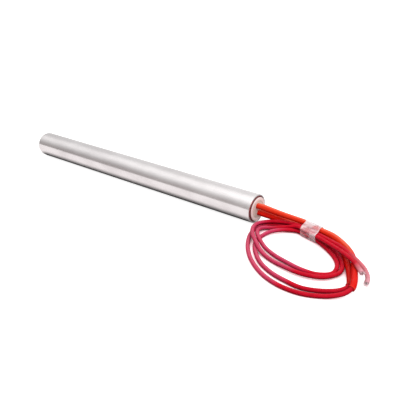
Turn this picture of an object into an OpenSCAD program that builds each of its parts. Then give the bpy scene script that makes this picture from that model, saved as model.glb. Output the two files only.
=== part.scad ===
// Cartridge heater: a steel sheath round a wound ceramic core, with two sleeved leads.
// It lies along X with the lead end at the origin. Z is up and sizes are in mm.

/* [Sheath] */
// Outside diameter of the sheath
sheath_d = 16; // [15:0.5:20]
// Length of the sheath, from its closed end to its mouth
sheath_length = 180; // [120:5:300]
// Wall of the sheath tube
sheath_wall = 0.8; // [0.5:0.1:1]
// Radius of the weld round the closed end
end_round = 1.2; // [0.4:0.1:2]
// Thickness of the welded end disc
end_disc_t = 3; // [2:0.5:6]
// Bevel on the inside edge of the mouth
mouth_bevel = 0.2; // [0.1:0.05:0.4]

/* [Heating core] */
// Diameter of the ceramic core segments
core_d = 9; // [8.5:0.1:9.5]
// Diameter of the resistance wire
winding_wire_d = 0.9; // [0.6:0.1:1]
// Whole turns of resistance wire on the core
winding_turns = 24; // [12:1:30]
// Thickness of the spacer under the core
base_spacer_t = 7; // [6:0.5:12]
// Thickness of the spacer over the core
head_spacer_t = 4; // [2:0.5:8]

/* [Terminals] */
// Distance between the two lead holes
lead_pitch = 4.6; // [4.4:0.1:5.2]
// Turn of the lead holes about the sheath, in degrees
lead_tilt = 18; // [10:1:25]
// Diameter of the terminal pins
pin_d = 2; // [1.6:0.1:2.2]
// Length of the short pin inside the core
short_pin_depth = 12; // [6:1:20]
// Length of the return pin inside the base spacer
return_pin_depth = 4; // [2:0.5:4.5]
// Length of bare lead end inside its crimp
wire_grip = 4.5; // [3:0.5:5.5]
// Length of the crimp barrels
crimp_length = 9; // [8:0.5:12]
// Wall of the crimp barrels
crimp_wall = 0.7; // [0.4:0.1:0.8]

/* [Head] */
// How far the head stands out of the mouth
head_proud = 0.8; // [0.6:0.1:3]
// Width of the groove between head and sheath
head_groove = 0.7; // [0.4:0.1:0.8]
// How far the seal lies below the mouth at the bore
seal_drop = 0.2; // [0.1:0.05:0.6]
// How far the seal climbs the head past the mouth
seal_rise = 0.5; // [0.1:0.05:0.5]
// Length of the head's seat in the bore
head_seat = 3; // [2:0.5:5]
// Width of the raised rim on the head's face
rim_width = 1.6; // [1:0.1:1.8]
// Depth of the recess inside the rim
recess_depth = 0.5; // [0.3:0.1:0.8]

/* [Leads] */
// Outside diameter of the insulated leads
lead_d = 2; // [1.6:0.1:2]
// Diameter of the bare conductor
conductor_d = 1.2; // [0.8:0.1:1.3]
// Length of each lead inside the head
lead_depth = 5; // [4:0.5:8]
// Wall of the braided sleeves
sleeve_wall = 0.4; // [0.2:0.05:0.4]
// Width of the tape band along the leads
tape_width = 11; // [5:0.5:11]
// Thickness of the tape band
tape_t = 0.15; // [0.05:0.05:0.15]

/* [Hidden] */
// Gap between pieces that fit together
fit_gap = 0.05;
// Gap round pins, crimps and sleeves in their holes
hole_gap = 0.1;
// Gap at the ends of crimps and blind holes
end_gap = 0.5;
// Bevel on the outer edge of the head's rim
rim_bevel = 0.25;
// How far the cement lies below the rim
cement_drop = 0.1;
// Gap between lead and sleeve
sleeve_gap = 0.1;
// Gap between tape and leads
tape_gap = 0.12;
// Number of core segments
core_count = 5;
// Segments in a turn of the winding
turn_steps = 16;
// Ring spacing along a lead, in route points
lead_step = 2 / 3;
// Route point at which the sleeves end
sleeve_end = 14;
// Extra length of cutting shapes
cut = 1;

sheath_r = sheath_d / 2;
bore_r = sheath_r - sheath_wall;
table_z = -sheath_r;
// Stations along the sheath
head_depth = lead_depth + crimp_length + 2 * end_gap;
x_closed = -sheath_length;
x_base = x_closed + end_disc_t;
x_core = x_base + base_spacer_t;
x_head = -head_depth;
x_top = x_head - head_spacer_t;
x_crimp = x_head + end_gap;
x_pin = x_crimp + crimp_length - wire_grip;
core_length = (x_top - x_core) / core_count;
// Radii
pin_hole_d = pin_d + 2 * hole_gap;
crimp_d = pin_d + 2 * fit_gap + 2 * crimp_wall;
sleeve_bore = lead_d + 2 * sleeve_gap;
sleeve_d = sleeve_bore + 2 * sleeve_wall;
head_r = bore_r - head_groove;
recess_r = head_r - rim_width;
winding_r = (core_d / 2 + winding_wire_d / 2 + fit_gap) / cos(180 / turn_steps);
fill_bore = winding_r + winding_wire_d / 2 + fit_gap;
// Slot that leads the winding's ends to the pins
slot_w = winding_wire_d + 4 * fit_gap;
winding_inset = slot_w / 2;

// Routes of the leads: x, y and height over the table
route_1 = [
    [4, -0.5, 10.2], [9.5, 1, 9], [15.5, 3.5, 7.3], [24.2, 6.8, 5.2], [30, 5.3, 5.1],
    [35.9, 3.7, 5.1], [43.6, 3.4, 4], [51.1, 0.2, 2.9], [57.5, -5.9, 2.8], [62.9, -14.9, 3.6],
    [67, -24, 4.4], [69.7, -30.4, 4.4], [70.4, -34.2, 3.3], [68.1, -38.8, 1.9], [62.3, -43.8, 1.2],
    [53.7, -47.7, 1.1], [43.6, -48.2, 1.2], [33.5, -45.1, 1.1], [24, -39.1, 1.1], [16, -31.3, 1.1],
    [10, -22.7, 1.1], [6.1, -14.2, 1.1], [4.9, -6.6, 1.1], [8.3, -0.1, 1.1], [15.2, 4, 1.3],
    [24.1, 4.4, 1.5], [29.9, 2.9, 1.5], [35.7, 1.3, 1.6], [44.8, -2.9, 1.4], [52.8, -9.3, 1.4],
    [57.9, -16.5, 1.4], [59.4, -23.9, 1.6], [55.3, -31.2, 1.8], [47, -34.4, 1.8], [37.5, -33.7, 1.6],
    [29, -31.6, 1.3], [21.6, -28.4, 1.7], [15.5, -24, 3.2], [9.6, -18.2, 3.4], [5.7, -11.8, 3.4],
    [5.2, -5.7, 3.3], [9.2, 0, 3.3], [15.7, 3.7, 3.3], [24.1, 4.3, 3.6], [29.9, 2.8, 3.7],
    [36.2, 0.5, 4.2], [44.3, -3.4, 5.1], [51.9, -7.3, 5.9], [58.9, -12.1, 6.4], [64.8, -15.6, 5.9],
    [68.9, -17.6, 4.4], [71.7, -20.4, 2.8], [72.5, -22.9, 1.4]
];
route_2 = [
    [3.8, 1.3, 5.6], [9.5, 3.7, 4.2], [15.8, 6.7, 2.3], [24.8, 7, 1.8], [30.6, 5.4, 1.9],
    [36.3, 3.9, 1.8], [43.7, 0.9, 1.7], [50, -2.6, 1.8], [55.1, -7.7, 1.7], [59.6, -14.1, 1.6],
    [63.5, -20.9, 1.6], [66.3, -26.3, 1.6], [67.7, -30.7, 1.7], [65.5, -35.9, 1.3], [59.6, -40.6, 1.1],
    [51.7, -43.7, 1.1], [43.2, -43.1, 1.2], [34.7, -40.9, 1.1], [26.1, -36.3, 1.1], [18.7, -29.2, 1.1],
    [13.7, -21.7, 1.1], [12.3, -14, 1.2], [13.7, -7.2, 1.6], [17.7, -1.9, 1.7], [23.6, 1.9, 1.5],
    [29.5, 0.4, 1.8], [35.4, -0.9, 1.8], [43.9, -5.2, 1.4], [51.2, -10.9, 1.3], [55.9, -17.6, 1.3],
    [56.9, -24.7, 1.1], [52.1, -29.9, 1.4], [44.7, -31.1, 1.7], [36.2, -29.2, 1.4], [27.9, -26.8, 1.3],
    [20.5, -23.8, 1.9], [14.3, -19.5, 3.2], [9.4, -13.5, 2.9], [8.3, -6.8, 1.8], [11.8, -1.9, 1.1],
    [17.5, 1.5, 2], [23.7, 2.2, 3.8], [29.7, 0.3, 4], [35.6, -1.6, 4.1], [44, -5.7, 4.9],
    [52, -10, 5.7], [58.8, -14.7, 6.6], [65, -19.5, 7.1], [70.5, -24.6, 6.5]
];
// Middle of the tape band and its direction
tape_centre = [31.2, 3, table_z];
tape_heading = -14;
// Spots under the tape, in route points from each middle
tape_spots = [-0.8, -0.4, 0, 0.4, 0.8, 1.2];
// Strands under the tape: side, route point and whether it is sleeved
tape_strands = [
    [1, 6, true], [1, 28, false], [1, 46, false],
    [-1, 6, true], [-1, 27, false], [-1, 44, false]
];

// Curves and swept tubes

function unit(v) = v / norm(v);

// Point at t on the smooth curve through all points of p
function on_curve(p, t) =
    let (last = len(p) - 1)
    let (i = min(floor(t), last - 1))
    let (u = t - i)
    let (a = i > 0 ? p[i - 1] : 2 * p[0] - p[1])
    let (d = i + 2 > last ? 2 * p[last] - p[last - 1] : p[i + 2])
    let (b = p[i], c = p[i + 1])
    b + u / 2 * (c - a + u * (2 * a - 5 * b + 4 * c - d + u * (3 * b - 3 * c + d - a)));

// Centres of the rings along a route, up to route point end
function centres(p, end) = [for (k = [0 : round(end / lead_step)]) on_curve(p, k * lead_step)];

// Direction of travel at centre i
function heading(c, i) = unit(c[min(i + 1, len(c) - 1)] - c[max(i - 1, 0)]);

// Ring of points round a centre; the path never runs along the given axis
function ring(centre, ahead, r, sides, axis) =
    let (across = unit(cross(axis, ahead)))
    let (up = cross(ahead, across))
    [for (k = [0.5 : sides]) centre + r * (across * cos(360 * k / sides) + up * sin(360 * k / sides))];

// All rings of a tube in one list
function rings(c, last_ahead, r, sides, axis) = [
    for (i = [0 : len(c) - 1])
        each ring(c[i], i < len(c) - 1 ? heading(c, i) : last_ahead, r, sides, axis)
];

// Wall triangles between rings, counted from the point first
function wall(count, sides, first, inward) = [
    for (i = [0 : count - 2], k = [0 : sides - 1])
        let (a = first + i * sides + k)
        let (b = first + i * sides + (k + 1) % sides)
        each inward
            ? [[a, b + sides, a + sides], [a, b, b + sides]]
            : [[a, a + sides, b + sides], [a, b + sides, b]]
];

// Triangles of a ring-shaped end between an outer and an inner ring
function ring_end(sides, outer, inner) = [
    for (k = [0 : sides - 1])
        let (n = (k + 1) % sides)
        each [[outer + k, outer + n, inner + n], [outer + k, inner + n, inner + k]]
];

function flipped(faces) = [for (f = faces) [f[2], f[1], f[0]]];

// Solid rod through the centres c
module rod(c, d, sides, axis) {
    top = (len(c) - 1) * sides;
    polyhedron(
        rings(c, heading(c, len(c) - 1), d / 2, sides, axis),
        concat(
            wall(len(c), sides, 0, false),
            [for (k = [1 : sides - 2]) [0, k, k + 1]],
            [for (k = [1 : sides - 2]) [top, top + k + 1, top + k]]
        )
    );
}

// Hollow tube through the centres c
module hose(c, last_ahead, d, bore, sides, axis) {
    inner = len(c) * sides;
    top = inner - sides;
    polyhedron(
        concat(rings(c, last_ahead, d / 2, sides, axis), rings(c, last_ahead, bore / 2, sides, axis)),
        concat(
            wall(len(c), sides, 0, false),
            wall(len(c), sides, inner, true),
            ring_end(sides, 0, inner),
            flipped(ring_end(sides, top, inner + top))
        )
    );
}

// Placing

// Stands a shape made along Z on the sheath's axis, from the given station
module along_x(from) {
    translate([from, 0, 0])
        rotate([0, 90, 0])
            children();
}

// Moves a shape to the upper (1) or lower (-1) terminal
module at_terminal(side) {
    rotate([lead_tilt, 0, 0])
        translate([0, 0, side * lead_pitch / 2])
            children();
}

// Round bar at a terminal between two stations
module bar(side, d, from, to) {
    at_terminal(side)
        along_x(from)
            cylinder(h = to - from, d = d, $fn = 48);
}

// Disc across the bore between two stations
module bore_disc(from, to) {
    along_x(from)
        cylinder(h = to - from, r = bore_r - fit_gap, $fn = 96);
}

// Point at a terminal, at station x
function terminal(side, x) = [
    x, -side * lead_pitch / 2 * sin(lead_tilt), side * lead_pitch / 2 * cos(lead_tilt)
];

// Whole route of a lead: straight through the head, then over the table
function lead_route(side) = concat(
    [terminal(side, -lead_depth), terminal(side, 0)],
    [for (p = side > 0 ? route_1 : route_2) p + [0, 0, table_z]]
);

// Sheath

// Half outline of the sheath with its closed end at zero
module sheath_outline() {
    translate([0, end_round])
        square([sheath_r, sheath_length - end_round]);
    square([sheath_r - end_round, 2 * end_round]);
    translate([sheath_r - end_round, end_round])
        circle(r = end_round, $fn = 48);
}

module sheath() {
    color("silver")
    along_x(x_closed)
    rotate_extrude($fn = 96)
    difference() {
        sheath_outline();
        translate([-cut, -cut])
            square([bore_r + cut, sheath_length + 2 * cut]);
        translate([bore_r, sheath_length])
            rotate(45)
                square(mouth_bevel * sqrt(2), center = true);
    }
}

module end_disc() {
    color("lightgray")
    along_x(x_closed)
    rotate_extrude($fn = 96)
    intersection() {
        sheath_outline();
        square([bore_r - fit_gap, end_disc_t]);
    }
}

// Heating core

module base_spacer() {
    color("ivory")
    difference() {
        bore_disc(x_base, x_core);
        bar(-1, pin_hole_d, x_core - return_pin_depth - end_gap, x_core + cut);
    }
}

// Slot from a pin hole to the outside of a core, at the given station
module winding_slot(side, from) {
    rotate([lead_tilt, 0, 0])
        translate([from, -slot_w / 2, side > 0 ? lead_pitch / 2 : -core_d])
            cube([slot_w, slot_w, core_d - lead_pitch / 2]);
}

module core(number) {
    from = x_core + (number - 1) * core_length;
    color("wheat")
    difference() {
        along_x(from)
            cylinder(h = core_length, d = core_d, $fn = 72);
        bar(1, pin_hole_d, from - cut, from + core_length + cut);
        bar(-1, pin_hole_d, from - cut, from + core_length + cut);
        if (number == 1) winding_slot(-1, from);
        if (number == core_count) winding_slot(1, from + core_length - slot_w);
    }
}

// Point of the winding at station x, radius r and angle from the upper terminal
function wound(x, r, angle) = [x, -r * sin(lead_tilt + angle), r * cos(lead_tilt + angle)];

function winding_centres() =
    let (steps = (winding_turns + 0.5) * turn_steps)
    let (from = x_top - winding_inset)
    let (to = x_core + winding_inset)
    let (reach = lead_pitch / 2 + pin_d / 2 + fit_gap)
    concat(
        [wound(from, reach, 0)],
        [for (k = [0 : steps]) wound(from + (to - from) * k / steps, winding_r, 360 * k / turn_steps)],
        [wound(to, reach, 180)]
    );

module winding() {
    color("dimgray")
    rod(winding_centres(), winding_wire_d, 6, [1, 0, 0]);
}

module magnesia_fill() {
    color("whitesmoke")
    difference() {
        bore_disc(x_core, x_top);
        along_x(x_core - cut)
            cylinder(h = x_top - x_core + 2 * cut, r = fill_bore, $fn = 96);
    }
}

// Terminals

module short_pin() {
    color("gainsboro")
    bar(1, pin_d, x_top - short_pin_depth, x_pin);
}

module return_pin() {
    color("gainsboro")
    bar(-1, pin_d, x_core - return_pin_depth, x_pin);
}

module head_spacer() {
    color("ivory")
    difference() {
        bore_disc(x_top, x_head);
        bar(1, pin_hole_d, x_top - cut, x_head + cut);
        bar(-1, pin_hole_d, x_top - cut, x_head + cut);
    }
}

module crimp(side) {
    color("tan")
    difference() {
        bar(side, crimp_d, x_crimp, x_crimp + crimp_length);
        bar(side, pin_d + 2 * fit_gap, x_crimp - cut, x_pin + fit_gap);
        bar(side, conductor_d + 2 * fit_gap, x_pin, x_crimp + crimp_length + cut);
    }
}

module lead_end(side) {
    color("chocolate")
    bar(side, conductor_d, x_pin + 2 * fit_gap, -lead_depth - fit_gap);
}

// Head

module head_bush() {
    top = head_depth + head_proud;
    color("white")
    difference() {
        along_x(x_head)
            rotate_extrude($fn = 96)
                polygon([
                    [0, 0],
                    [bore_r - fit_gap, 0],
                    [bore_r - fit_gap, head_seat],
                    [head_r, head_seat],
                    [head_r, top - rim_bevel],
                    [head_r - rim_bevel, top],
                    [recess_r, top],
                    [recess_r, top - recess_depth],
                    [0, top - recess_depth]
                ]);
        for (side = [1, -1]) {
            bar(side, crimp_d + 2 * hole_gap, x_head - cut, -lead_depth);
            bar(side, sleeve_d + 2 * hole_gap, -lead_depth - cut, head_proud + cut);
        }
    }
}

module head_seal() {
    from = x_head + head_seat;
    color("maroon")
    along_x(from)
        rotate_extrude($fn = 96)
            polygon([
                [head_r + fit_gap, 0],
                [bore_r - fit_gap, 0],
                [bore_r - fit_gap, -seal_drop - from],
                [head_r + fit_gap, seal_rise - from]
            ]);
}

module face_cement() {
    color("darkseagreen")
    difference() {
        along_x(head_proud - recess_depth)
            cylinder(h = recess_depth - cement_drop, r = recess_r - fit_gap, $fn = 96);
        bar(1, sleeve_d + 2 * hole_gap, -cut, head_proud + cut);
        bar(-1, sleeve_d + 2 * hole_gap, -cut, head_proud + cut);
    }
}

// Leads

module lead(side) {
    route = lead_route(side);
    color("crimson")
    rod(centres(route, len(route) - 1), lead_d, 8, [0, 0, 1]);
}

module sleeve(side) {
    route = lead_route(side);
    whole = centres(route, len(route) - 1);
    covered = centres(route, sleeve_end);
    color("orangered")
    hose(covered, heading(whole, len(covered) - 1), sleeve_d, sleeve_bore, 8, [0, 0, 1]);
}

// Outline round the strands in a section across the tape band
module tape_outline(gap) {
    across = [-sin(tape_heading), cos(tape_heading), 0];
    hull()
        for (s = tape_strands, u = tape_spots) {
            p = on_curve(lead_route(s[0]), s[1] + u) - tape_centre;
            translate([p * across, p[2]])
                circle(d = (s[2] ? sleeve_d : lead_d) + 2 * gap, $fn = 24);
        }
}

module tape_band() {
    color("mistyrose")
    translate(tape_centre)
    rotate([0, 0, tape_heading])
    rotate([90, 0, 90])
    linear_extrude(tape_width, center = true)
    difference() {
        tape_outline(tape_gap + tape_t);
        tape_outline(tape_gap);
    }
}

sheath();
end_disc();
base_spacer();
core(1);  // core_1
core(2);  // core_2
core(3);  // core_3
core(4);  // core_4
core(5);  // core_5
winding();
magnesia_fill();
short_pin();
return_pin();
head_spacer();
crimp(1);  // crimp_1
crimp(-1);  // crimp_2
lead_end(1);  // lead_end_1
lead_end(-1);  // lead_end_2
head_bush();
head_seal();
face_cement();
lead(1);  // lead_1
lead(-1);  // lead_2
sleeve(1);  // sleeve_1
sleeve(-1);  // sleeve_2
tape_band();
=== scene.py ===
import bmesh
import bpy
import numpy as np
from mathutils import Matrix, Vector


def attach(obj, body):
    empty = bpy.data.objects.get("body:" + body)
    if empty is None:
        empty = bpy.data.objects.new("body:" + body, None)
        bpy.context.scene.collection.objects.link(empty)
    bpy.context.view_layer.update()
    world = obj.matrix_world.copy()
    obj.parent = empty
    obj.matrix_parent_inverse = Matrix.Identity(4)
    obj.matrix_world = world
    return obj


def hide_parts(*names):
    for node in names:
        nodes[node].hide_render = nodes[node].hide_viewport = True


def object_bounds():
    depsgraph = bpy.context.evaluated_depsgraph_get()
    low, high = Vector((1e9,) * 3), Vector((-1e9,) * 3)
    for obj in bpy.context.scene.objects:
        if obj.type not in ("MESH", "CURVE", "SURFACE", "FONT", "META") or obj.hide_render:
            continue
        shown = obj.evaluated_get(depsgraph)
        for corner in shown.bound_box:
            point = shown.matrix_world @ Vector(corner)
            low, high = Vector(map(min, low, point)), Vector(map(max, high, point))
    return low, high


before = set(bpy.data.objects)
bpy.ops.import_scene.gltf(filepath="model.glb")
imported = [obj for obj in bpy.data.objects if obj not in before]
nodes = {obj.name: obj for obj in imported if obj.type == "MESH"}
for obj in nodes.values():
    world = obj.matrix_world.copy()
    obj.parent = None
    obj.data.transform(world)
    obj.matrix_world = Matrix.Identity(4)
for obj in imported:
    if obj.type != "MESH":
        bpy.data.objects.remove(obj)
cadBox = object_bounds()
scene = bpy.context.scene
scene.view_settings.view_transform = "Standard"
mm = 0.001
random = np.random.default_rng(16)
print("frame:", len(nodes), "nodes")

# camera: a 50 mm lens in front of the lead end, looking down along the sheath
view = dict(lens=50, sensor=36, eye=(145.67, -229.69, 123.9), aim=(-42.61, 4.34, -8.1))
cameraData = bpy.data.cameras.new("camera")
cameraData.lens = view["lens"]
cameraData.sensor_width = view["sensor"]
camera = bpy.data.objects.new("camera", cameraData)
scene.collection.objects.link(camera)
camera.location = Vector(view["eye"]) * mm
sightLine = Vector(view["aim"]) - Vector(view["eye"])
camera.rotation_euler = sightLine.to_track_quat("-Z", "Y").to_euler()
scene.camera = camera
print("camera set")


# shader sockets as numbers: an operator adds the Math node that does it
class Wire:
    def __init__(self, finish, socket):
        self.finish, self.socket = finish, socket

    def math(self, operation, *others):
        return self.finish.node("Math", dict(operation=operation), dict(enumerate((self, *others))))

    def __add__(self, other):
        return self.math("ADD", other)

    def __radd__(self, other):
        return self.math("ADD", other)

    def __sub__(self, other):
        return self.math("SUBTRACT", other)

    def __rsub__(self, other):
        return self.finish.node("Math", dict(operation="SUBTRACT"), {0: other, 1: self})

    def __mul__(self, other):
        return self.math("MULTIPLY", other)

    def __rmul__(self, other):
        return self.math("MULTIPLY", other)

    def __pow__(self, other):
        return self.math("POWER", other)

    def __neg__(self):
        return self.math("MULTIPLY", -1)

    def sin(self):
        return self.math("SINE")

    def abs(self):
        return self.math("ABSOLUTE")

    def low(self, other):
        return self.math("MINIMUM", other)

    def high(self, other):
        return self.math("MAXIMUM", other)

    # 0 below start, 1 past stop and a smooth step between
    def step(self, start, stop):
        settings = dict(interpolation_type="SMOOTHSTEP")
        return self.finish.node("MapRange", settings, {0: self, 1: start, 2: stop, 3: 0, 4: 1})


# a material or world whose nodes are made by one method
class Finish:
    def __init__(self, owner):
        self.owner = owner
        owner.use_nodes = True
        self.tree = owner.node_tree
        self.tree.nodes.clear()

    def node(self, kind, settings=None, sockets=None, output=0):
        made = self.tree.nodes.new("ShaderNode" + kind)
        for key, value in (settings or {}).items():
            setattr(made, key, value)
        for key, value in (sockets or {}).items():
            if isinstance(value, Wire):
                self.tree.links.new(value.socket, made.inputs[key])
            else:
                made.inputs[key].default_value = value
        return Wire(self, made.outputs[output]) if made.outputs else made

    def place(self):
        return self.node("TexCoord", output=3)

    def axes(self, vector):
        split = self.node("SeparateXYZ", None, {0: vector})
        return [Wire(self, s) for s in split.socket.node.outputs]

    def vector(self, x, y, z):
        return self.node("CombineXYZ", None, {0: x, 1: y, 2: z})

    def attribute(self, name):
        return self.node("Attribute", dict(attribute_name=name), output=2)

    def noise(self, vector, scale, detail=3, rough=0.5):
        sockets = {"Vector": vector, "Scale": scale, "Detail": detail, "Roughness": rough}
        return self.node("TexNoise", None, sockets)

    def mix(self, factor, first, second):
        return self.node("Mix", dict(data_type="RGBA"), {0: factor, 6: first, 7: second}, 2)

    def bump(self, height, distance, strength=1.0):
        return self.node("Bump", None, {"Strength": strength, "Distance": distance, "Height": height})

    def surface(self, **sockets):
        names = {k.replace("_", " "): v for k, v in sockets.items()}
        shader = self.node("BsdfPrincipled", None, names)
        self.node("OutputMaterial", None, {0: shader})
        return self.owner


def newFinish(name):
    return Finish(bpy.data.materials.new(name))


# sRGB bytes to the linear colour that a shader takes
def colour(red, green, blue):
    c = np.array([red, green, blue]) / 255
    c = np.where(c < 0.04045, c / 12.92, ((c + 0.055) / 1.055) ** 2.4)
    return (*c.tolist(), 1)


# a grid of points joined into quads that face away from the path; a wrapped direction closes
def gridQuads(rows, cols, wrapRows=False, wrapCols=True):
    r = np.arange(rows if wrapRows else rows - 1)[:, None]
    c = np.arange(cols if wrapCols else cols - 1)[None, :]
    nextR, nextC = (r + 1) % rows, (c + 1) % cols
    corners = (r * cols + c, r * cols + nextC, nextR * cols + nextC, nextR * cols + c)
    return np.stack(np.broadcast_arrays(*corners), -1).reshape(-1, 4)


# several grids as one list of points and faces
class Shell:
    def __init__(self):
        self.points, self.faces, self.values = [], [], {}

    def grid(self, points, wrapRows=False, wrapCols=True, **values):
        first = sum(len(p) for p in self.points)
        rows, cols = points.shape[:2]
        self.points.append(points.reshape(-1, 3))
        self.faces += (gridQuads(rows, cols, wrapRows, wrapCols) + first).tolist()
        for key, value in values.items():
            spread = np.broadcast_to(np.asarray(value, float), (rows, cols)).reshape(-1)
            self.values.setdefault(key, []).append(spread)
        return first

    # closes a ring of points with one flat face
    def cap(self, first, count, turned=False):
        ring = list(range(first, first + count))
        self.faces.append(ring if turned else ring[::-1])

    def piece(self, name, material, slot, *replaced, weld=False, sharp=38):
        mesh = bpy.data.meshes.new(name)
        mesh.from_pydata((np.concatenate(self.points) * mm).tolist(), [], self.faces)
        for key, parts in self.values.items():
            mesh.attributes.new(key, "FLOAT", "POINT").data.foreach_set("value", np.concatenate(parts))
        if weld:
            work = bmesh.new()
            work.from_mesh(mesh)
            bmesh.ops.remove_doubles(work, verts=work.verts, dist=2e-6)
            bmesh.ops.recalc_face_normals(work, faces=work.faces)
            work.to_mesh(mesh)
            work.free()
        mesh.shade_smooth()
        mesh.set_sharp_from_angle(angle=np.radians(sharp))
        mesh.materials.append(material)
        made = bpy.data.objects.new(name, mesh)
        scene.collection.objects.link(made)
        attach(made, "root")
        if replaced:
            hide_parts(*replaced)
        print("piece", name, len(mesh.polygons), "faces")
        return made


# smooth curve through all points: each slope is half the chord between the two neighbours
def curveAt(points, t):
    p = np.asarray(points, float)
    ends = (2 * p[0] - p[1], 2 * p[-1] - p[-2])
    p = np.vstack([ends[0], p, ends[1]])
    i = np.clip(np.floor(t).astype(int), 0, len(p) - 4)
    u = (t - i)[:, None]
    a, b, c, d = (p[i + k] for k in range(4))
    return b + u / 2 * (c - a + u * (2 * a - 5 * b + 4 * c - d + u * (3 * b - 3 * c + d - a)))


def unit(v):
    return v / np.linalg.norm(v, axis=-1, keepdims=True)


# 0 at start, 1 at stop, straight between and level outside
def ramp(values, start, stop):
    return np.clip((values - start) / (stop - start), 0, 1)


# directions along, across and up at each point of a path that never stands upright
def pathFrame(centres):
    ahead = unit(np.gradient(centres, axis=0))
    across = unit(np.cross([0, 0, 1], ahead))
    return ahead, across, np.cross(ahead, across)


# rings round a path: centre plus radius times a turning unit vector
def tubeGrid(centres, radius, sides):
    across, up = pathFrame(centres)[1:]
    a = 2 * np.pi * np.arange(sides) / sides
    around = np.cos(a)[None, :, None] * across[:, None] + np.sin(a)[None, :, None] * up[:, None]
    return centres[:, None] + np.asarray(radius)[..., None] * around


# profile of x and radius turned round the sheath's axis
def latheGrid(profile, sides, phase=0.0):
    a = phase + 2 * np.pi * np.arange(sides) / sides
    p = np.asarray(profile, float)
    x = np.repeat(p[:, :1], sides, 1)
    return np.stack([x, p[:, 1:] * np.cos(a), p[:, 1:] * np.sin(a)], -1)


# points at even angles on part of a circle in the profile
def arc(x, radius, bend, start, stop, count):
    a = np.radians(np.linspace(start, stop, count))
    return np.column_stack([x + bend * np.cos(a), radius + bend * np.sin(a)])


# the heater's main sizes, and the leads with their routes over the table as in the part's source, in mm
heater = dict(radius=8, length=180, bore=7.2, holePitch=4.6, holeTilt=18, leadDepth=5)
leads = dict(radius=1.0, sides=20, spacing=0.45, fullness=1.06, waves=0.012, waveLength=3.1,
             lumps=0.008, lumpLength=1.3, lumpTwist=9, tipSwell=0.1, tipLength=3.5,
             wornAt=(0, 0.2, 0.45, 0.7, 1), wornShare=(1, 0.73, 0.5, 0.28, 0))
route1 = [
    [4, -0.5, 10.2], [9.5, 1, 9], [15.5, 3.5, 7.3], [24.2, 6.8, 5.2], [30, 5.3, 5.1],
    [35.9, 3.7, 5.1], [43.6, 3.4, 4], [51.1, 0.2, 2.9], [57.5, -5.9, 2.8], [62.9, -14.9, 3.6],
    [67, -24, 4.4], [69.7, -30.4, 4.4], [70.4, -34.2, 3.3], [68.1, -38.8, 1.9], [62.3, -43.8, 1.2],
    [53.7, -47.7, 1.1], [43.6, -48.2, 1.2], [33.5, -45.1, 1.1], [24, -39.1, 1.1], [16, -31.3, 1.1],
    [10, -22.7, 1.1], [6.1, -14.2, 1.1], [4.9, -6.6, 1.1], [8.3, -0.1, 1.1], [15.2, 4, 1.3],
    [24.1, 4.4, 1.5], [29.9, 2.9, 1.5], [35.7, 1.3, 1.6], [44.8, -2.9, 1.4], [52.8, -9.3, 1.4],
    [57.9, -16.5, 1.4], [59.4, -23.9, 1.6], [55.3, -31.2, 1.8], [47, -34.4, 1.8], [37.5, -33.7, 1.6],
    [29, -31.6, 1.3], [21.6, -28.4, 1.7], [15.5, -24, 3.2], [9.6, -18.2, 3.4], [5.7, -11.8, 3.4],
    [5.2, -5.7, 3.3], [9.2, 0, 3.3], [15.7, 3.7, 3.3], [24.1, 4.3, 3.6], [29.9, 2.8, 3.7],
    [36.2, 0.5, 4.2], [44.3, -3.4, 5.1], [51.9, -7.3, 5.9], [58.9, -12.1, 6.4], [64.8, -15.6, 5.9],
    [68.9, -17.6, 4.4], [71.7, -20.4, 2.8], [72.5, -22.9, 1.4],
]
route2 = [
    [3.8, 1.3, 5.6], [9.5, 3.7, 4.2], [15.8, 6.7, 2.3], [24.8, 7, 1.8], [30.6, 5.4, 1.9],
    [36.3, 3.9, 1.8], [43.7, 0.9, 1.7], [50, -2.6, 1.8], [55.1, -7.7, 1.7], [59.6, -14.1, 1.6],
    [63.5, -20.9, 1.6], [66.3, -26.3, 1.6], [67.7, -30.7, 1.7], [65.5, -35.9, 1.3], [59.6, -40.6, 1.1],
    [51.7, -43.7, 1.1], [43.2, -43.1, 1.2], [34.7, -40.9, 1.1], [26.1, -36.3, 1.1], [18.7, -29.2, 1.1],
    [13.7, -21.7, 1.1], [12.3, -14, 1.2], [13.7, -7.2, 1.6], [17.7, -1.9, 1.7], [23.6, 1.9, 1.5],
    [29.5, 0.4, 1.8], [35.4, -0.9, 1.8], [43.9, -5.2, 1.4], [51.2, -10.9, 1.3], [55.9, -17.6, 1.3],
    [56.9, -24.7, 1.1], [52.1, -29.9, 1.4], [44.7, -31.1, 1.7], [36.2, -29.2, 1.4], [27.9, -26.8, 1.3],
    [20.5, -23.8, 1.9], [14.3, -19.5, 3.2], [9.4, -13.5, 2.9], [8.3, -6.8, 1.8], [11.8, -1.9, 1.1],
    [17.5, 1.5, 2], [23.7, 2.2, 3.8], [29.7, 0.3, 4], [35.6, -1.6, 4.1], [44, -5.7, 4.9],
    [52, -10, 5.7], [58.8, -14.7, 6.6], [65, -19.5, 7.1], [70.5, -24.6, 6.5],
]


# straight through the head's hole, then the route with its heights set on the table
def leadRoute(side, route):
    tilt = np.radians(heater["holeTilt"])
    half = side * heater["holePitch"] / 2
    hole = [[x, -half * np.sin(tilt), half * np.cos(tilt)] for x in (-heater["leadDepth"], 0)]
    return np.vstack([hole, np.array(route) - [0, 0, heater["radius"]]])


# even steps along the curve between two route points
def evenPath(route, stop, spacing):
    t = np.linspace(0, stop, 40 * int(stop))
    fine = curveAt(route, t)
    s = np.concatenate([[0], np.cumsum(np.linalg.norm(np.diff(fine, axis=0), axis=1))])
    count = int(round(s[-1] / spacing)) + 1
    even = np.linspace(0, s[-1], count)
    return curveAt(route, np.interp(even, s, t)), even


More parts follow.
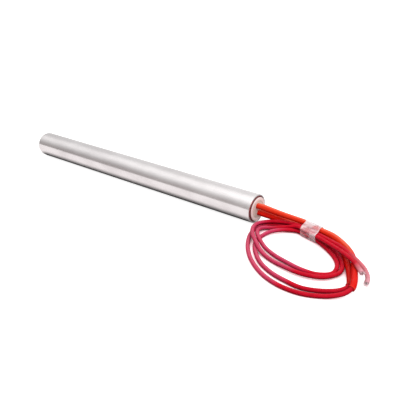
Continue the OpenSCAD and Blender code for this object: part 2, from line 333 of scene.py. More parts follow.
# varnished glass braid: crossing yarns in relief, a painted highlight on top and wear towards the cut tip;
# an attribute paints sheen on a stretch above 0 and shade on it below 0
def braidFinish(name, look):
    f = newFinish(name)
    along, turn = f.attribute("along"), f.attribute("turn")
    tau = 2 * np.pi
    lean, spin = along * (tau / look["pitch"]), turn * (tau * look["yarns"])
    weave = (spin + lean).sin() * (spin - lean).sin()
    fibre = ((spin + lean) * 5).sin()
    patches = f.noise(f.place(), 260, 4, 0.6)
    facing = f.axes(f.node("NewGeometry", output=1))[2]
    tone = f.attribute("tone")
    # painted highlight: faces turned up are mixed towards the worn colour, most on the sheen stretches
    dustAndSheen = facing.step(0.62, 1) * (0.12 + tone.high(0) * 0.88) * look["dustAndSheen"]
    wearAndSheen = patches.step(0.5, 0.75) * 0.01 + weave.step(0.1, 1) * 0.005 + dustAndSheen
    mottle = 0.8 + patches.step(0.35, 0.6) * 0.12 + fibre.step(-1, 1) * 0.08
    wearAndSheen = (wearAndSheen + f.attribute("fade") * mottle).low(1)
    body = f.mix(tone, look["body"], look["pale"])
    # painted shade: weave valleys, undersides and stretches below 0 darken towards deep; the noise patches
    # are real mottling
    dark = (-weave).step(0.1, 0.9) * 0.4 + patches.step(0.55, 0.3) * 0.2
    dark = dark + facing.step(0.35, -0.4) * 0.7 + (-tone).high(0) * look["dim"]
    shade = f.mix(dark.low(1), body, look["deep"])
    relief = weave * 0.8 + fibre * 0.2
    return f.surface(Base_Color=f.mix(wearAndSheen, shade, look["worn"]), Roughness=look["rough"] + wearAndSheen * 0.25,
                     Normal=f.bump(relief, 0.00006, 0.7), Specular_IOR_Level=look["shine"])


# worn is also the colour of the painted top highlight; pale is a painted sheen, deep and dim a painted shade
leadBraid = braidFinish("leadBraid", dict(
    body=colour(210, 10, 40), pale=colour(208, 54, 94), deep=colour(126, 0, 18), worn=colour(222, 164, 174),
    yarns=6, pitch=0.0011, rough=0.4, dustAndSheen=0.16, shine=0.05, dim=0.14))
sleeveLook = dict(body=colour(222, 8, 5), pale=colour(232, 54, 28), deep=colour(186, 3, 2),
                  worn=colour(250, 170, 136), yarns=9, pitch=0.0012, rough=0.34,
                  dustAndSheen=0.26, shine=0.06, dim=0.7)
sleeveBraid1 = braidFinish("sleeveBraid1", sleeveLook)
# the lower sleeve's copy is painted brighter, light in place of the shadow that the upper sleeve casts on it
sleeveLookLit = dict(sleeveLook, body=colour(236, 18, 10), pale=colour(252, 34, 18), dustAndSheen=0.2)
sleeveBraidLit = braidFinish("sleeveBraidLit", sleeveLookLit)


# where the loops' painted sheen and painted shade change, from none to full, in mm on the table
tones = dict(frontReach=11, frontY=(-14, -24), leftX=(26, 14), leftY=(0, -6),
             rightX=(40, 50), rightY=(-26, -36))


# painted sheen on the loops' left and front, painted shade on their near right
def leadTone(x, y, paleTo):
    front = ramp(x, paleTo, paleTo - tones["frontReach"]) * ramp(y, *tones["frontY"])
    leftSide = ramp(x, *tones["leftX"]) * ramp(y, *tones["leftY"])
    nearRight = ramp(x, *tones["rightX"]) * ramp(y, *tones["rightY"])
    return np.maximum(front, leftSide) - nearRight


# one lead: a tube whose radius waves along it and round it, faded and swollen towards its tip
def makeLead(name, side, route, node, paleTo, worn):
    points = leadRoute(side, route)
    centres, s = evenPath(points, len(points) - 1, leads["spacing"])
    left = s[-1] - s
    fade = np.interp(left / worn, leads["wornAt"], leads["wornShare"])
    a = 2 * np.pi * np.arange(leads["sides"]) / leads["sides"]
    along = s[:, None]
    waves = leads["waves"] * np.sin(along / leads["waveLength"])
    lumps = leads["lumps"] * np.sin(along / leads["lumpLength"]) * np.sin(a + along / leads["lumpTwist"])
    swell = leads["tipSwell"] * ramp(left, leads["tipLength"], 0) ** 2
    radius = leads["fullness"] * leads["radius"] * (1 + (waves + lumps) + swell[:, None])
    shell = Shell()
    turn = np.broadcast_to(np.minimum(a, 2 * np.pi - a) / (2 * np.pi), radius.shape)
    tone = leadTone(centres[:, 0], centres[:, 1], paleTo)
    first = shell.grid(tubeGrid(centres, radius, leads["sides"]), along=along * mm, turn=turn,
                       fade=fade[:, None], tone=tone[:, None])
    shell.cap(first, leads["sides"])
    shell.cap(first + (len(s) - 1) * leads["sides"], leads["sides"], True)
    return shell.piece(name, leadBraid, "lead_braid", node), centres, s[-1]


# the last four are distances along the sleeve between which it changes, from none to full; pale and dim place
# its painted sheen and painted shade
sleeves = dict(radius=1.5, bore=1.1, endPoint=14, sides=24, waves=0.012, waveLength=4.3, lip=1.2, flare=0.04,
               lipFade=0.06, gripped=1.2, swellAt=50, swellReach=6,
               opens=(0, 2.5), closes=(20, 6), pale=(74, 60), dim=(72, 80))


# one sleeve: outer wall out to its cut end and inner wall back, along the lead's own curve;
# it is loose by the head, swells once past the tape and flares at its lip
def makeSleeve(name, side, route, node, material, bulge, swell, shaded):
    centres, s = evenPath(leadRoute(side, route), sleeves["endPoint"], leads["spacing"])
    sides = sleeves["sides"]
    lip = ramp(s[-1] - s, sleeves["lip"], 0)
    out = s - heater["leadDepth"] - sleeves["gripped"]
    loose = bulge * ramp(out, *sleeves["opens"]) * ramp(out, *sleeves["closes"])
    loose = loose + swell * np.exp(-((s - sleeves["swellAt"]) / sleeves["swellReach"]) ** 2)
    waves = sleeves["waves"] * np.sin(s / sleeves["waveLength"])
    outer = sleeves["radius"] * (1 + waves + sleeves["flare"] * lip ** 2) + loose
    a = np.arange(sides) / sides
    outerGrid = tubeGrid(centres, np.repeat(outer[:, None], sides, 1), sides)
    innerGrid = tubeGrid(centres, np.full((len(s), sides), sleeves["bore"]), sides)
    shell = Shell()
    both = np.concatenate([s, s[::-1]])[:, None]
    fade = sleeves["lipFade"] * np.concatenate([lip, lip[::-1]])[:, None] ** 3
    # painted sheen along the sleeve up to the run-down, and painted shade on the run-down where shaded is 1
    tone = ramp(both, *sleeves["pale"]) - shaded * ramp(both, *sleeves["dim"])
    shell.grid(np.concatenate([outerGrid, innerGrid[::-1]]), wrapRows=True, along=both * mm,
               turn=np.minimum(a, 1 - a)[None, :], fade=fade, tone=tone)
    return shell.piece(name, material, "sleeve_braid", node)


lead1, path1, length1 = makeLead("lead1", 1, route1, "lead_1", paleTo=48, worn=20)
lead2, path2, length2 = makeLead("lead2", -1, route2, "lead_2", paleTo=54, worn=7)
sleeve1 = makeSleeve("sleeve1", 1, route1, "sleeve_1", sleeveBraid1, bulge=0.16, swell=0.16, shaded=0)
sleeve2 = makeSleeve("sleeve2", -1, route2, "sleeve_2", sleeveBraidLit, bulge=0.26, swell=0.06, shaded=1)
print("leads", round(length1, 1), "and", round(length2, 1), "mm")


# cut lead tips: loosened glass yarns round seven bare strands
tips = dict(yarns=64, yarnRadius=0.045, yarnIn=0.3, yarnRing=(0.5, 0.95), yarnLean=(-0.1, 0.35),
            yarnBend=(-0.1, 0.3), yarnStray=0.08, yarnLength=(0.7, 2.2), yarnStack=0.02, taper=0.6,
            strandRadius=0.19, strandRing=0.4, strandIn=0.5, strandOut=0.5, strandCut=(0.75, 1),
            strandSpread=0.1)


# thin tapered tubes, all at once: each runs from a root along a direction that bends outwards
def yarnGrids(roots, directions, bends, lengths, radius, rings=5, sides=4):
    u = np.linspace(0, 1, rings)[None, :, None]
    line = roots[:, None] + lengths[:, None, None] * (u * directions[:, None] + u ** 2 * bends[:, None])
    across = unit(np.cross(directions, [0.3, 0.2, 0.9]))
    up = np.cross(directions, across)
    a = 2 * np.pi * np.arange(sides) / sides
    ring = np.cos(a)[None, :, None] * across[:, None] + np.sin(a)[None, :, None] * up[:, None]
    taper = radius * (1 - tips["taper"] * u[..., None])
    return line[:, :, None] + taper * ring[:, None]


# one tip: yarns that start inside the braid and lean and bend at random, or a bundle of one strand and six
def makeTip(name, centres, slotName, frayed):
    ahead, across, up = (v[-1] for v in pathFrame(centres))
    end = centres[-1]
    shell = Shell()
    if frayed:
        count = tips["yarns"]
        a = random.uniform(0, 2 * np.pi, count)
        out = np.cos(a)[:, None] * across + np.sin(a)[:, None] * up
        ring = out * random.uniform(*tips["yarnRing"], (count, 1)) * leads["radius"]
        roots = end - tips["yarnIn"] * ahead + ring
        directions = unit(ahead + out * random.uniform(*tips["yarnLean"], (count, 1)))
        bends = out * random.uniform(*tips["yarnBend"], (count, 1))
        bends = bends + random.normal(0, tips["yarnStray"], (count, 3))
        lengths = random.uniform(*tips["yarnLength"], count)
        grids = yarnGrids(roots, directions, bends, lengths, tips["yarnRadius"])
        lowest = tips["yarnRadius"] - heater["radius"] + tips["yarnStack"] * random.random(count)
        grids[..., 2] = np.maximum(grids[..., 2], lowest[:, None, None])
    else:
        a = np.pi / 3 * np.arange(6)
        spread = tips["strandRing"] * (np.cos(a)[:, None] * across + np.sin(a)[:, None] * up)
        spread = np.vstack([np.zeros((1, 3)), spread])
        roots = end - tips["strandIn"] * ahead + spread
        directions = np.repeat(ahead[None], len(spread), 0)
        lengths = tips["strandIn"] + tips["strandOut"] * random.uniform(*tips["strandCut"], len(spread))
        bends = tips["strandSpread"] * spread
        grids = yarnGrids(roots, directions, bends, lengths, tips["strandRadius"], rings=4, sides=8)
    for grid in grids:
        first = shell.grid(grid)
        rings, sides = grid.shape[:2]
        shell.cap(first, sides)
        shell.cap(first + (rings - 1) * sides, sides, True)
    return shell.piece(name, yarnWhite if frayed else strandMetal, slotName)


f = newFinish("yarnWhite")
tint = f.noise(f.place(), 900, 2)
yarnBase = f.mix(tint.step(0.35, 0.7), colour(240, 222, 225), colour(220, 186, 194))
yarnWhite = f.surface(Base_Color=yarnBase, Roughness=0.6)
f = newFinish("strandMetal")
grain = f.noise(f.place(), 3000, 3)
strandMetal = f.surface(Base_Color=f.mix(grain, colour(150, 138, 128), colour(196, 186, 176)), Metallic=1.0,
                        Roughness=0.3 + grain * 0.2)
yarns1 = makeTip("tipYarns1", path1, "lead_braid", True)
yarns2 = makeTip("tipYarns2", path2, "lead_braid", True)
strands1 = makeTip("tipStrands1", path1, "nickel", False)
strands2 = makeTip("tipStrands2", path2, "nickel", False)

# clear tape: a ribbon wound a little more than once round the six strands
tape = dict(centre=(31.2, 3, -8), heading=-14, width=11, drawnIn=0.93, reach=(-0.8, 1.2), gap=0.14,
            thick=0.07, turns=1.22, start=0.06, lapFrom=0.86, lapLift=1.2, skew=0.3, skewFrom=1.5,
            wrinkle=0.035, edgeWave=0.16, edgeDrift=0.1, table=0.02, rows=260, cols=14, spots=400,
            samples=6, directions=721)
# side, route point and radius of each strand under it
tapeStrands = [(1, 6, 1.5), (1, 28, 1.0), (1, 46, 1.0), (-1, 6, 1.5), (-1, 27, 1.0), (-1, 44, 1.0)]


# outline of the bundle: in each direction the point that the strands reach furthest to, spaced evenly
def bundleOutline(count):
    turned = np.radians(tape["heading"])
    acrossTape = np.array([-np.sin(turned), np.cos(turned), 0])
    spots, radii = [], []
    for side, point, radius in tapeStrands:
        t = point + np.linspace(*tape["reach"], tape["samples"])
        p = curveAt(leadRoute(side, route1 if side > 0 else route2), t) - tape["centre"]
        spots.append(np.column_stack([p @ acrossTape, p[:, 2]]))
        radii += [radius] * tape["samples"]
    spots, radii = np.vstack(spots), np.array(radii)
    a = np.linspace(0, 2 * np.pi, tape["directions"])
    d = np.column_stack([np.cos(a), np.sin(a)])
    best = np.argmax(d @ spots.T + radii, 1)
    edge = spots[best] + radii[best][:, None] * d
    s = np.concatenate([[0], np.cumsum(np.linalg.norm(np.diff(edge, axis=0), axis=1))])
    even = np.linspace(0, 1, count, endpoint=False) * s[-1]
    shape = np.column_stack([np.interp(even, s, edge[:, k]) for k in range(2)])
    out = unit(np.column_stack([np.interp(even, s, d[:, k]) for k in range(2)]))
    return shape, out


# ribbon: the outline pushed out by its gap, wrinkles and own thickness, wound past its start and slanted
def makeTape():
    count = tape["spots"]
    shape, out = bundleOutline(count)
    w = np.linspace(0, tape["turns"], tape["rows"])
    spot = (w + tape["start"]) % 1 * count
    i, u = spot.astype(int) % count, (spot % 1)[:, None]
    base = shape[i] * (1 - u) + shape[(i + 1) % count] * u
    normal = unit(out[i] * (1 - u) + out[(i + 1) % count] * u)
    half = tape["width"] / 2
    v = np.linspace(-1, 1, tape["cols"] // 2 + 1)
    # the ribbon's section: outer side one way, inner side back
    acrossRibbon = np.concatenate([v, v[::-1]])
    outerSide = np.concatenate([np.ones(len(v)), np.zeros(len(v))])
    wave = tape["edgeWave"] * np.sin(w * 23)[:, None] * acrossRibbon
    drift = tape["edgeDrift"] * np.sin(w * 9 + 1)[:, None]
    x = half * acrossRibbon[None, :] + wave + drift
    wrinkle = np.sin(w[:, None] * 60 + acrossRibbon * 2.4) * np.sin(acrossRibbon * 3 + w[:, None] * 7)
    lift = tape["gap"] + tape["lapLift"] * tape["thick"] * ramp(w, tape["lapFrom"], 1)[:, None]
    lift = lift + tape["wrinkle"] * np.abs(wrinkle) + tape["thick"] * outerSide
    flat = base[:, None] + lift[..., None] * normal[:, None]
    flat[..., 1] = np.maximum(flat[..., 1], tape["table"])
    x = tape["drawnIn"] * x - tape["skew"] * (flat[..., 0] - tape["skewFrom"])
    turned = np.radians(tape["heading"])
    along = np.array([np.cos(turned), np.sin(turned), 0])
    side = np.array([-np.sin(turned), np.cos(turned), 0])
    points = np.array(tape["centre"]) + x[..., None] * along + flat[..., :1] * side
    points = points + flat[..., 1:] * np.array([0, 0, 1])
    shell = Shell()
    cols = points.shape[1]
    ends = np.abs(acrossRibbon)[None, :] * np.ones((len(w), 1))
    first = shell.grid(points, edge=ends)
    shell.cap(first, cols)
    shell.cap(first + (len(w) - 1) * cols, cols, True)
    return shell


f = newFinish("clearTape")
edge = f.attribute("edge")
spotX, spotY, spotZ = f.axes(f.place())
streaks = f.noise(f.vector(spotX * 0.3, spotY, spotZ), 420, 3, 0.5)
haze = f.noise(f.place(), 130, 2)
facing = f.axes(f.node("NewGeometry", output=1))[2]
# the milky white is the tape's clouding from haze and edges, and a painted highlight on faces turned up or
# down and along the streaks
cloudAndHighlight = 0.06 + facing.abs().step(0.3, 0.95) * 0.25 + streaks.step(0.42, 0.6) * 0.35
cloudAndHighlight = (cloudAndHighlight + haze.step(0.46, 0.56) * 0.35 + edge.step(0.9, 1) * 0.05).low(1)
tapeBase = f.mix(cloudAndHighlight, colour(250, 184, 194), colour(255, 246, 247))
clearTape = f.surface(Base_Color=tapeBase, Roughness=0.1 + streaks * 0.14, Alpha=0.09 + cloudAndHighlight * 0.42,
                      Normal=f.bump(streaks, 0.00012, 0.5), IOR=1.48)
tapeBand = makeTape().piece("tapeBand", clearTape, "clear_tape", "tape_band", weld=True)

round(length1 * mm, 3)
(path1 * mm).tolist()
round(length2 * mm, 3)
(path2 * mm).tolist()

# polished steel: fine ground lines round the tube, faint haze and a few long handling marks
f = newFinish("polishedSteel")
spotX, spotY, spotZ = f.axes(f.place())
grind = f.noise(f.vector(spotX * 60, spotY, spotZ), 90, 4, 0.7)
fine = f.noise(f.vector(spotX * 40, spotY * 2, spotZ * 2), 420, 2)
smear = f.noise(f.vector(spotX, spotY * 2.5, spotZ * 2.5), 45, 4, 0.6)
marks = f.noise(f.vector(spotX * 0.12, spotY, spotZ), 900, 2).step(0.68, 0.8)
steelBase = f.mix(smear.step(0.3, 0.8), colour(231, 227, 227), colour(214, 209, 209))
steelRough = 0.15 + grind * 0.08 + smear.step(0.45, 0.8) * 0.07 + marks * 0.06
polishedSteel = f.surface(Base_Color=steelBase, Metallic=1.0, Roughness=steelRough,
                          Normal=f.bump(grind * 0.5 + fine * 0.3 + marks * 0.4, 0.000004, 0.35))

# sheath: round weld edge, ground outside, thin lip, bevel and bore as one closed profile
sheath = dict(endRound=1.2, lip=0.12, bevel=0.2, boreStations=(4, 14, 60, 120), boreStop=2,
              rows=90, sides=192)


def makeSheath():
    r, length, bore = heater["radius"], heater["length"], heater["bore"]
    bend, lip, bevel = sheath["endRound"], sheath["lip"], sheath["bevel"]
    wall = np.linspace(bend - length, -lip, sheath["rows"])
    seam = -length + bend - np.sqrt(bend ** 2 - (bore - r + bend) ** 2)
    start = np.degrees(np.arctan2(bore - r + bend, seam + length - bend))
    profile = np.vstack([
        arc(bend - length, r - bend, bend, start, 90, count=9),
        np.column_stack([wall[1:-1], np.full(len(wall) - 2, r)]),
        arc(-lip, r - lip, lip, 90, 0, count=6),
        [[0, bore + bevel], [-bevel, bore]],
        [[-x, bore] for x in sheath["boreStations"]],
        [[sheath["boreStop"] - length, bore]],
    ])
    shell = Shell()
    shell.grid(latheGrid(profile, sheath["sides"]), wrapRows=True)
    return shell.piece("sheathTube", polishedSteel, "polished_steel", "sheath", weld=True)


makeSheath()

# closed end: turned disc with a rippled weld bead over its seam
endCap = dict(flat=6.35, radius=7.15, thick=3, ringDepth=0.012, discSides=96, bead=7.0, beadWide=0.62,
              beadHigh=0.16, beadIn=0.09, beadFoot=0.12, ripples=88, rippleDepth=0.28, sides=352)


def makeEnd():
    length = heater["length"]
    radius, inside = endCap["radius"], endCap["thick"] - length
    flatR = np.linspace(0, endCap["flat"], 14)
    turned = endCap["ringDepth"] * np.sin(flatR * 9)
    face = np.column_stack([-length + 0.02 + turned, flatR])
    rim = np.array([[-length + 0.03, 6.6], [-length + 0.05, 7.0], [-length + 0.06, radius - 0.01]])
    back = np.array([[-length + 0.4, radius], [inside, radius], [inside, 3], [inside, 0]])
    shell = Shell()
    shell.grid(latheGrid(np.vstack([face, rim, back]), endCap["discSides"]))
    shell.piece("endDisc", discSteel, "polished_steel", "end_disc", weld=True)
    # bead height: a bow across the seam times overlapping ripples that lean with the travel
    v = np.linspace(-1, 1, 13)
    a = 2 * np.pi * np.arange(endCap["sides"]) / endCap["sides"]
    lean = a * endCap["ripples"] + 2.2 * v[:, None] ** 2
    ripple = 1 + endCap["rippleDepth"] * np.abs(np.sin(lean / 2)) + 0.1 * np.sin(a * 7 + 1)
    r = endCap["bead"] + endCap["beadWide"] * v[:, None] + 0.03 * np.sin(a * 5)
    x = -length + endCap["beadIn"] - endCap["beadHigh"] * (1 - v[:, None] ** 2) * ripple
    top = np.stack([x + 0 * r, r * np.cos(a), r * np.sin(a)], -1)
    foot = np.full_like(r, endCap["beadFoot"] - length)
    under = np.stack([foot, r * np.cos(a), r * np.sin(a)], -1)[::-1]
    shell = Shell()
    shell.grid(np.concatenate([top, under]), wrapRows=True)
    shell.piece("weldBead", weldSteel, "polished_steel", weld=True, sharp=60)


f = newFinish("discSteel")
spotX, spotY, spotZ = f.axes(f.place())
ringLine = ((spotY ** 2 + spotZ ** 2) ** 0.5 * 26000).sin()
discGrain = f.noise(f.place(), 700, 4)
discSteel = f.surface(Base_Color=f.mix(discGrain, colour(206, 202, 200), colour(224, 221, 220)), Metallic=1.0,
                      Roughness=0.24 + discGrain * 0.14,
                      Normal=f.bump(ringLine * 0.4 + discGrain, 0.000006, 0.5))
f = newFinish("weldSteel")
heat = f.noise(f.place(), 260, 4, 0.6)
scale = f.noise(f.place(), 2200, 3)
weldTint = f.mix(heat.step(0.35, 0.7), colour(196, 190, 186), colour(170, 150, 124))
weldSteel = f.surface(Base_Color=weldTint, Metallic=1.0, Roughness=0.26 + scale * 0.2,
                      Normal=f.bump(scale, 0.00001, 0.5))
makeEnd()

# terminal head: ceramic bush, cement face and the seal in the groove round it
head = dict(depth=15, proud=0.8, seat=3, seatRadius=7.15, radius=6.5, round=0.28, rim=4.9, rimRound=0.12,
            recess=0.5, hole=1.6, crimpHole=1.85, arcSteps=60, chordSteps=30)


# flat face with two holes: straight rays run from each hole to its half of the round edge
def twoHoleFace(x, edge, hole, rays=5, relief=None):
    tilt, n, m = np.radians(heater["holeTilt"]), head["arcSteps"], head["chordSteps"]
    grids = []
    for side in (1, -1):
        mid = tilt + side * np.pi / 2
        a = mid + np.linspace(-np.pi / 2, np.pi / 2, n + 1)
        rim = edge * np.column_stack([np.cos(a), np.sin(a)])
        chord = rim[-1] + np.linspace(0, 1, m + 1)[1:-1, None] * (rim[0] - rim[-1])
        border = np.vstack([rim, chord])
        centre = heater["holePitch"] / 2 * np.array([np.cos(mid), np.sin(mid)])
        inner = centre + hole * unit(border - centre)
        v = np.linspace(0, 1, rays)[:, None, None] ** 1.4
        flat = inner + v * (border - inner)
        height = x + (relief(flat, v[..., 0]) if relief else 0) + np.zeros(flat.shape[:2])
        grids.append(np.concatenate([height[..., None], flat], -1))
    return grids


# walls of both holes between the points of two such faces
def holeWalls(shell, top, bottom):
    for a, b in zip(top, bottom):
        shell.grid(np.stack([a[0], b[0]]))


# bush: turned outside, flat face and back, and holes that widen at a step for the crimps
def makeHead():
    top, deep, step = head["proud"], -head["depth"], -heater["leadDepth"]
    bend, floor = head["round"], head["proud"] - head["recess"]
    r, rim, rimRound = head["radius"], head["rim"], head["rimRound"]
    seatRadius, seatEnd = head["seatRadius"], head["seat"] - head["depth"]
    profile = np.vstack([
        [[deep, seatRadius], [seatEnd, seatRadius], [seatEnd, r], [-2, r]],
        arc(top - bend, r - bend, bend, 90, 0, count=6),
        arc(top - rimRound, rim + rimRound, rimRound, 0, -90, count=4),
        [[floor, rim]],
    ])
    sides = 2 * head["arcSteps"]
    tilt = np.radians(heater["holeTilt"])
    shell = Shell()
    shell.grid(latheGrid(profile, sides, tilt))
    face = twoHoleFace(floor, rim, head["hole"])
    neck = twoHoleFace(step, rim, head["hole"])
    wide = twoHoleFace(step, rim, head["crimpHole"])
    back = twoHoleFace(deep, seatRadius, head["crimpHole"])
    for grid in face + back:
        shell.grid(grid)
    holeWalls(shell, face, neck)
    holeWalls(shell, neck, wide)
    holeWalls(shell, wide, back)
    return shell.piece("ceramicHead", whiteCeramic, "white_ceramic", "head_bush", weld=True)


cement = dict(below=0.12, gap=0.04, bed=0.01, wetHole=0.07, wetRim=0.05)


# cast cement: low waves, and a small rise where it wets the sleeves and the rim
def cementRelief(flat, v):
    y, z = flat[..., 0], flat[..., 1]
    waves = 0.03 * np.sin(1.9 * y + 0.7) * np.sin(1.6 * z - 0.4) + 0.02 * np.sin(4.3 * y + 2.9 * z)
    rise = cement["wetHole"] * np.exp(-6 * v) + cement["wetRim"] * np.exp(-14 * (1 - v))
    return waves * np.sin(np.pi * np.clip(v, 0, 1)) + rise


# cement disc: the waved face and a flat back, joined round both holes and the edge
def makeCement():
    top = head["proud"] - cement["below"]
    floor = head["proud"] - head["recess"] + cement["bed"]
    edge = head["rim"] - cement["gap"]
    face = twoHoleFace(top, edge, head["hole"], rays=14, relief=cementRelief)
    back = twoHoleFace(floor, edge, head["hole"], rays=3)
    shell = Shell()
    for grid in face + back:
        shell.grid(grid)
    holeWalls(shell, face, back)
    n = head["arcSteps"] + 1
    for a, b in zip(face, back):
        shell.grid(np.stack([a[-1, :n], b[-1, :n]]), wrapCols=False)
    return shell.piece("cementFace", castCement, "cement", "face_cement", weld=True, sharp=50)


seal = dict(gap=0.03, foot=-12, low=-0.2, climb=0.7, hollow=0.1, sides=144)


# silicone seal: a hollow fillet that climbs from the bore to the head's side
def makeSeal():
    inner, outer = head["radius"] + seal["gap"], heater["bore"] - seal["gap"]
    u = np.linspace(0, 1, 9)
    top = seal["low"] + seal["climb"] * u - seal["hollow"] * np.sin(np.pi * u)
    fillet = np.column_stack([top, outer + u * (inner - outer)])
    profile = np.vstack([[[seal["foot"], outer]], fillet, [[seal["foot"], inner]]])
    shell = Shell()
    shell.grid(latheGrid(profile, seal["sides"]), wrapRows=True)
    return shell.piece("sealRing", shadedSealSilicone, "seal_silicone", "head_seal", weld=True)


f = newFinish("whiteCeramic")
body = f.noise(f.place(), 900, 4, 0.6)
stain = f.noise(f.place(), 160, 3)
speck = f.noise(f.place(), 2600, 2).step(0.7, 0.78)
ceramicBase = f.mix(stain.step(0.4, 0.75) * 0.7, colour(246, 232, 228), colour(240, 206, 202))
whiteCeramic = f.surface(Base_Color=f.mix(speck * 0.5, ceramicBase, colour(168, 140, 132)),
                         Roughness=0.42 + body * 0.16, Normal=f.bump(body, 0.00002, 0.4))
f = newFinish("castCement")
lumps = f.noise(f.place(), 700, 5, 0.65)
pits = f.noise(f.place(), 1900, 3).step(0.62, 0.72)
cementBase = f.mix(lumps.step(0.3, 0.7), colour(206, 200, 186), colour(226, 208, 200))
castCement = f.surface(Base_Color=f.mix(pits * 0.6, cementBase, colour(150, 142, 128)),
                       Roughness=0.66 + lumps * 0.2, Normal=f.bump(lumps - pits * 0.6, 0.00006, 0.6))
# red silicone seal; its dark maroon adds painted shade of the groove and a painted reflection of the red
# leads
f = newFinish("shadedSealSilicone")
skin = f.noise(f.place(), 1300, 4)
dustAndSheen = f.noise(f.place(), 300, 4).step(0.5, 0.8)
shadedSealSilicone = f.surface(Base_Color=f.mix(dustAndSheen * 0.5, colour(104, 24, 26), colour(150, 70, 68)),
                           Roughness=0.38 + skin * 0.2, Normal=f.bump(skin, 0.00002, 0.4))
makeHead()
makeCement()
makeSeal()

# inner nodes keep their solids and get their own finishes
f = newFinish("coreCeramic")
fired = f.noise(f.place(), 500, 5, 0.6)
pores = f.noise(f.place(), 2400, 2).step(0.64, 0.74)
coreBase = f.mix(fired, colour(226, 216, 198), colour(240, 234, 222))
coreCeramic = f.surface(Base_Color=f.mix(pores * 0.5, coreBase, colour(176, 160, 138)),
                        Roughness=0.7 + fired * 0.15, Normal=f.bump(fired - pores, 0.00004, 0.5))
f = newFinish("packedMagnesia")
grains = f.noise(f.place(), 2600, 4, 0.7)
cake = f.noise(f.place(), 240, 3)
powder = f.mix(grains * 0.6 + cake * 0.4, colour(226, 222, 214), colour(248, 246, 240))
packedMagnesia = f.surface(Base_Color=powder, Roughness=0.85 + grains * 0.1,
                           Normal=f.bump(grains, 0.00008, 0.7))
f = newFinish("resistanceAlloy")
drawn = f.noise(f.place(), 2000, 4)
oxide = f.noise(f.place(), 320, 4)
alloyBase = f.mix(oxide.step(0.35, 0.7), colour(112, 106, 100), colour(146, 140, 134))
resistanceAlloy = f.surface(Base_Color=alloyBase, Metallic=1.0, Roughness=0.34 + drawn * 0.22,
                            Normal=f.bump(drawn, 0.00001, 0.4))
f = newFinish("pinNickel")
spotX, spotY, spotZ = f.axes(f.place())
pull = f.noise(f.vector(spotX * 0.05, spotY, spotZ), 5000, 3)
pinNickel = f.surface(Base_Color=f.mix(pull, colour(198, 192, 182), colour(220, 215, 206)), Metallic=1.0,
                      Roughness=0.22 + pull * 0.2, Normal=f.bump(pull, 0.000008, 0.4))
f = newFinish("crimpMetal")
plate = f.noise(f.place(), 900, 4)
plating = f.mix(plate.step(0.3, 0.75), colour(196, 178, 132), colour(214, 202, 170))
crimpMetal = f.surface(Base_Color=plating, Metallic=1.0, Roughness=0.28 + plate * 0.2,
                       Normal=f.bump(plate, 0.000012, 0.4))
inner = {
    coreCeramic: ["base_spacer", "head_spacer"] + [f"core_{k}" for k in range(1, 6)],
    packedMagnesia: ["magnesia_fill"],
    resistanceAlloy: ["winding"],
    pinNickel: ["short_pin", "return_pin", "lead_end_1", "lead_end_2"],
    crimpMetal: ["crimp_1", "crimp_2"],
}
for material, names in inner.items():
    for name in names:
        nodes[name].data.materials.clear()
        nodes[name].data.materials.append(material)
    print("inner nodes with", material.name, len(names))

# studio: pale floor, a soft panel on the lead side and a bright room with a dim front
studio = dict(floorSize=4.0, panelSize=0.6, panelPower=2.9, panel=(0.5, -0.3, 0.72), panelAim=(0.02, 0, 0))
low = cadBox[0][2]
half = studio["floorSize"]
floorMesh = bpy.data.meshes.new("floor")
corners = [(-half, -half, low), (half, -half, low), (half, half, low), (-half, half, low)]
floorMesh.from_pydata(corners, [], [(0, 1, 2, 3)])
floor = bpy.data.objects.new("floor", floorMesh)
scene.collection.objects.link(floor)
f = newFinish("paleFloor")
rays = f.node("LightPath").socket.node.outputs
seen = Wire(f, rays["Is Camera Ray"]).high(Wire(f, rays["Is Transmission Ray"]))
mirrored = Wire(f, rays["Is Glossy Ray"])
paper = f.noise(f.place(), 3, 2)
farX, farY = f.axes(f.place())[:2]
far = ((farX ** 2 + farY ** 2) ** 0.5).step(0.25, 0.9)
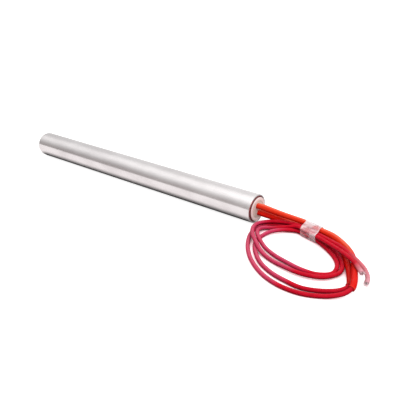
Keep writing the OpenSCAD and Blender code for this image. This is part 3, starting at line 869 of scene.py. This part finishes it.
# the floor beside the sheath, and the strip below it, painted black for glossy rays as a painted contact
# shadow in the polish
alongside = farX.step(0.004, -0.004)
under = farY.abs().step(0.013, 0.004) * alongside * farX.step(-0.186, -0.178)
white = f.mix(paper, (0.54, 0.54, 0.54, 1), (0.56, 0.56, 0.56, 1))
paint = f.node("BsdfDiffuse", None, {0: f.mix(mirrored * under * 0.85, white, (0, 0, 0, 1))})
shine = mirrored * (1 - under) * alongside * 0.46
# painted shade: the floor's glow dims in the gaps between strands, and close to them it takes a painted red
# bounce light
free = f.node("AmbientOcclusion", dict(samples=8), {"Distance": 0.005}, 1).high(alongside)
opened = free.step(0.03, 0.35)
redBounce = f.mix(free.step(0.68, 0.2) * 0.8, (1, 1, 1, 1), (1, 0.3, 0.36, 1))
pinkish = f.mix(mirrored, redBounce, (1, 0.93, 0.94, 1))
glow = f.node("Emission", None, {0: pinkish, 1: seen * (opened * 0.84 + far * 0.16) + shine})
f.node("OutputMaterial", None, {0: f.node("AddShader", None, {0: paint, 1: glow})})
floorMesh.materials.append(f.owner)

panelData = bpy.data.lights.new("panel", "AREA")
panelData.size = studio["panelSize"]
panelData.energy = studio["panelPower"]
panel = bpy.data.objects.new("panel", panelData)
panel.location = studio["panel"]
panelLine = Vector(studio["panelAim"]) - panel.location
panel.rotation_euler = panelLine.to_track_quat("-Z", "Y").to_euler()
scene.collection.objects.link(panel)

room = bpy.data.worlds.new("room")
scene.world = room
f = Finish(room)
rays = f.node("LightPath").socket.node.outputs
seen = Wire(f, rays["Is Camera Ray"]).high(Wire(f, rays["Is Transmission Ray"]))
x, y, z = f.axes(f.node("TexCoord", output=0))
# height angle seen from the front: dim at the near horizon, brightest high up, a little less behind
angle = f.node("Math", dict(operation="ARCTAN2"), {0: z, 1: -y})
rise = 0.48 + angle.step(0, 1.35) ** 1.4 * 0.76 - angle.step(1.45, 2.3) * 0.36
level = rise * (1 + (x.low(-0.4) + 0.62) * 0.95) * (1 - x.step(-0.4, 0.3) * 0.2)
shown = level + seen * (1 - level)
warm = f.mix(angle.step(0.9, 0) * (1 - seen), (1, 1, 1, 1), (1, 0.94, 0.93, 1))
f.node("OutputWorld", None, {0: f.node("Background", None, {0: warm, 1: shown})})
print("studio ready")
